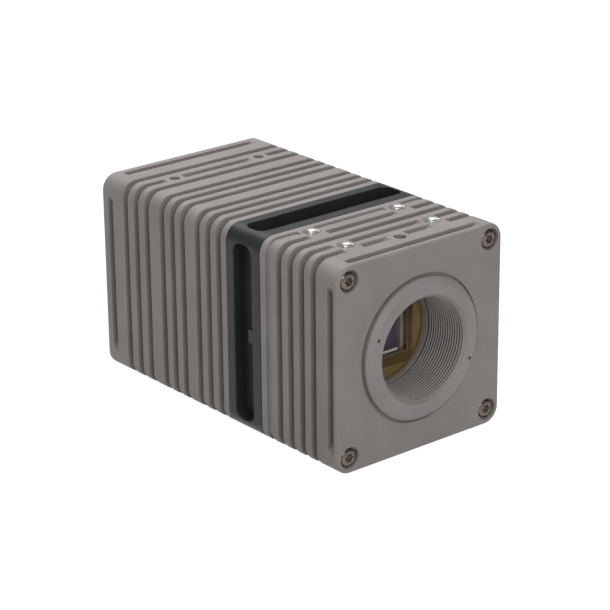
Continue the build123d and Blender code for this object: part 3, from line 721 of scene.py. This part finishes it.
# Screws of the rear cover: long countersunk stainless screws, flush in their countersinks.
# They are the same steel as those in front, with the same recess.
rear_screw_inset = 5.4 * mm
rear_flat_radius = 1.25 * mm
rear_head_radius = 2.3 * mm
rear_head_rim = 0.08 * mm
rear_head_height = rear_head_radius - shank_radius
rear_head_rounding = 0.12 * mm
rear_low, rear_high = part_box("rear_screws")
rear_face = rear_high.y - face_y
rear_head = rounded([
    (rear_face, rear_flat_radius),
    (rear_face, rear_head_radius - rear_head_rim),
    (rear_face - rear_head_height, shank_radius),
    (rear_low.y - face_y, shank_radius),
], rear_head_rounding)
rear_heads = corner_screws(rear_screw_inset, rear_face, -recess_depth, rear_head)
rear_heads_piece = piece("rear_screw_heads", rear_heads, stainless, "stainless_steel", "rear_screws")
rear_heads_piece.data.materials.append(recess_steel)

# Shield of the data socket and nut of the round connector: thin folded steel sheet, and turned brass.
# Both are nickel plated, a slightly yellow, mirror-like finish that dulls a little in handling.
sheet_edge = 0.06 * mm
nut_edge = 0.15 * mm
nickel = steel("nickel_plating", "#BDB9B0", "#CBC7BE", 0.2)
shield_shape = broken_edges("jack_shield", sheet_edge, steps=2)
piece("jack_shield_folded", shield_shape, nickel, "nickel_plate", "jack_shield")
nut_shape = broken_edges("io_nut", nut_edge, steps=2)
piece("io_nut_chamfered", nut_shape, nickel, "nickel_plate", "io_nut")

# Round connector: a turned brass shell, nickel plated, with a thread round its barrel for the plug's ring.
# The flange sits on the cover, and the nut behind the cover pulls it tight.
shell_low, shell_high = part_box("io_shell")
shell_x = (shell_low.x + shell_high.x) / 2
shell_z = (shell_low.z + shell_high.z) / 2 - axis_z
shell_back, shell_mouth = shell_low.y - face_y, shell_high.y - face_y
cover_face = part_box("rear_cover")[1].y - face_y
flange_radius = (shell_high.x - shell_low.x) / 2
flange_thickness = 1.5 * mm
flange_face = cover_face + flange_thickness
body_radius = 5.0 * mm
bore_radius = 4.3 * mm
mouth_width, mouth_depth = 0.35 * mm, 0.25 * mm
barrel_radius = 5.4 * mm
barrel_root = 5.05 * mm
barrel_pitch = 0.75 * mm
barrel_rows = 72
barrel_start = flange_face + 0.4 * mm
barrel_length = shell_mouth - 0.5 * mm - flange_face
barrel_taper = 0.45 * mm
shell_rounding = 0.2 * mm
shell_steps = 128
flange = rounded([
    (shell_back, bore_radius),
    (shell_back, body_radius),
    (cover_face, body_radius),
    (cover_face, flange_radius),
    (flange_face, flange_radius),
    (flange_face, barrel_root),
], shell_rounding)
barrel = []
for i in range(barrel_rows + 1):
    distance = barrel_start + barrel_length * i / barrel_rows
    taper = max(0.0, distance - (shell_mouth - barrel_taper))

    def barrel_thread(angle, distance=distance, taper=taper):
        ridge = thread_ridge(distance - barrel_pitch * angle / (2 * pi), barrel_pitch)
        return min(barrel_root + (barrel_radius - barrel_root) * ridge, barrel_radius - taper)

    if distance < shell_mouth - face_tolerance:
        barrel.append((distance, barrel_thread))
mouth = [(shell_mouth, bore_radius + mouth_width), (shell_mouth - mouth_depth, bore_radius)]
shell = bmesh.new()
turned(shell, lens_axis(shell_x, shell_z), flange + barrel + mouth, shell_steps, closed=True)
piece("io_shell_turned", shell, nickel, "nickel_plate", "io_shell")

# Pins of the round connector: gold plated brass with rounded tips, in two rings.
# Their tails run on to the interface board behind the insert.
pin_radius = 0.4 * mm
pin_tip_flat = 0.1 * mm
pin_rounding = 0.35 * mm
tail_radius = 0.2 * mm
pin_steps, tail_steps = 16, 8
pin_rings = ((2.9 * mm, 8), (1.15 * mm, 4))
insert_low, insert_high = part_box("io_insert")
pins_low, pins_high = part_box("io_pins")
pin_foot, pin_tip = insert_high.y - face_y, pins_high.y - face_y
pin = rounded([(pin_foot, pin_radius), (pin_tip, pin_radius), (pin_tip, pin_tip_flat)], pin_rounding)
tail = [(pins_low.y - face_y, tail_radius), (insert_low.y - face_y, tail_radius)]
pins = bmesh.new()
for circle, count in pin_rings:
    for i in range(count):
        angle = 2 * pi * i / count
        place = lens_axis(shell_x + circle * cos(angle), shell_z + circle * sin(angle))
        turned(pins, place, pin, pin_steps)
        turned(pins, place, tail, tail_steps)
piece("io_pins_plated", pins, gold_contact, "gold_plate", "io_pins")

# Status light: a clear moulded rod that carries light from the board to the cover.
# Its frosted end looks faintly pale when the camera is off.
light_rod = empty_material("frosted_polycarbonate")
rod_colour = mottled(light_rod, "#DDE3E2", "#E8EDEC", 1 * mm)
rod_frost = grain(light_rod, 0.15 * mm, 0.004 * mm)
finished(
    light_rod, Base_Color=rod_colour, Roughness=0.35, IOR=1.58, Transmission_Weight=0.5, Normal=rod_frost
)
coat(light_rod, "status_light")

# Floor: a wide pale board under the camera, which the photograph shows as plain white. Seen directly, in
# gloss or through glass, most of it is white light, and the rest keeps a faint shadow of the body.
floor_reach = 4000 * mm
floor_white = 1.25
white_share = 0.78
pale_floor = empty_material("pale_floor")
pale = add(pale_floor, "BsdfDiffuse", {"Color": linear("#C4C4C4"), "Roughness": 0.0})
white = add(pale_floor, "Emission", {"Color": linear("#FFFFFF"), "Strength": floor_white})
path = add(pale_floor, "LightPath").outputs
seen = add(pale_floor, "Math", {0: path["Is Camera Ray"], 1: path["Is Glossy Ray"]}, operation="ADD")
shown = add(pale_floor, "Math", {0: seen.outputs[0], 1: path["Is Transmission Ray"]}, operation="ADD")
share = add(pale_floor, "Math", {0: shown.outputs[0], 1: white_share}, operation="MULTIPLY")
mixed = add(pale_floor, "MixShader", {"Fac": share.outputs[0], 1: pale.outputs["BSDF"], 2: white.outputs[0]})
add(pale_floor, "OutputMaterial", {"Surface": mixed.outputs["Shader"]})
floor_shape = bmesh.new()
floor_corners = [(i * floor_reach, j * floor_reach, 0.0) for i, j in ((-1, -1), (1, -1), (1, 1), (-1, 1))]
floor_shape.faces.new([floor_shape.verts.new(corner) for corner in floor_corners])
studio_floor = placed("studio_floor", floor_shape)
studio_floor.data.materials.append(pale_floor)

# Light: softboxes above the rear end, overhead and in front of the lens side, in an even pale room.
# The top of the body gets more light than its sides, most at the rear, and some reaches down the lens bore.
# Sizes and places are in metres, and powers in watts.
room_light = 0.25
softboxes = (
    ("rear_softbox", 0.4, 1.35, (0.1, 0.24, 0.44)),
    ("overhead_softbox", 0.8, 2.2, (-0.12, -0.15, 0.85)),
    ("front_softbox", 0.5, 2.7, (-0.38, -0.94, 0.5)),
)
room = bpy.context.scene.world or bpy.data.worlds.new("pale_room")
bpy.context.scene.world = room
room.use_nodes = True
room.node_tree.nodes["Background"].inputs["Color"].default_value = linear("#F7F8FA")
room.node_tree.nodes["Background"].inputs["Strength"].default_value = room_light
for name, size, power, place in softboxes:
    softbox = bpy.data.lights.new(name, "AREA")
    softbox.size = size
    softbox.energy = power
    softbox_place = bpy.data.objects.new(name, softbox)
    bpy.context.scene.collection.objects.link(softbox_place)
    softbox_place.location = place
    softbox_aim = Vector((0, 0, axis_z)) - softbox_place.location
    softbox_place.rotation_euler = softbox_aim.to_track_quat("-Z", "Y").to_euler()
# Colours come out as they are written.
bpy.context.scene.view_settings.view_transform = "Standard"

# Camera: at the photograph's place, a little above and to the left of the lens, with a long lens.
# Its angles, distance and shift come from matching the body's corners in the photograph's 610 by 610 frame.
photo_side = 610
azimuth, elevation, roll = radians(-39.784), radians(21.312), radians(-0.433)
camera_distance = 586.156 * mm
focal_pixels = 2423.45
aim_depth = 50.0 * mm
aim = Vector((0.0, face_y + aim_depth, axis_z))
aim_right, aim_up = 8.673 * mm, -5.544 * mm
centre_right, centre_down = 12.623, 7.005
back = Vector((sin(azimuth) * cos(elevation), -cos(azimuth) * cos(elevation), sin(elevation)))
right = Vector((0, 0, 1)).cross(back).normalized()
up = back.cross(right)
rolled_right = right * cos(roll) + up * sin(roll)
rolled_up = up * cos(roll) - right * sin(roll)
camera = bpy.data.cameras.new("photo_camera")
camera.sensor_width = 36.0
camera.lens = focal_pixels / photo_side * camera.sensor_width
camera.shift_x = -centre_right / photo_side
camera.shift_y = centre_down / photo_side
camera.clip_start = 10 * mm
camera_place = bpy.data.objects.new("photo_camera", camera)
bpy.context.scene.collection.objects.link(camera_place)
turn = Matrix((rolled_right, rolled_up, back)).transposed().to_4x4()
station = aim + back * camera_distance + rolled_right * aim_right + rolled_up * aim_up
camera_place.matrix_world = Matrix.Translation(station) @ turn
bpy.context.scene.camera = camera_place
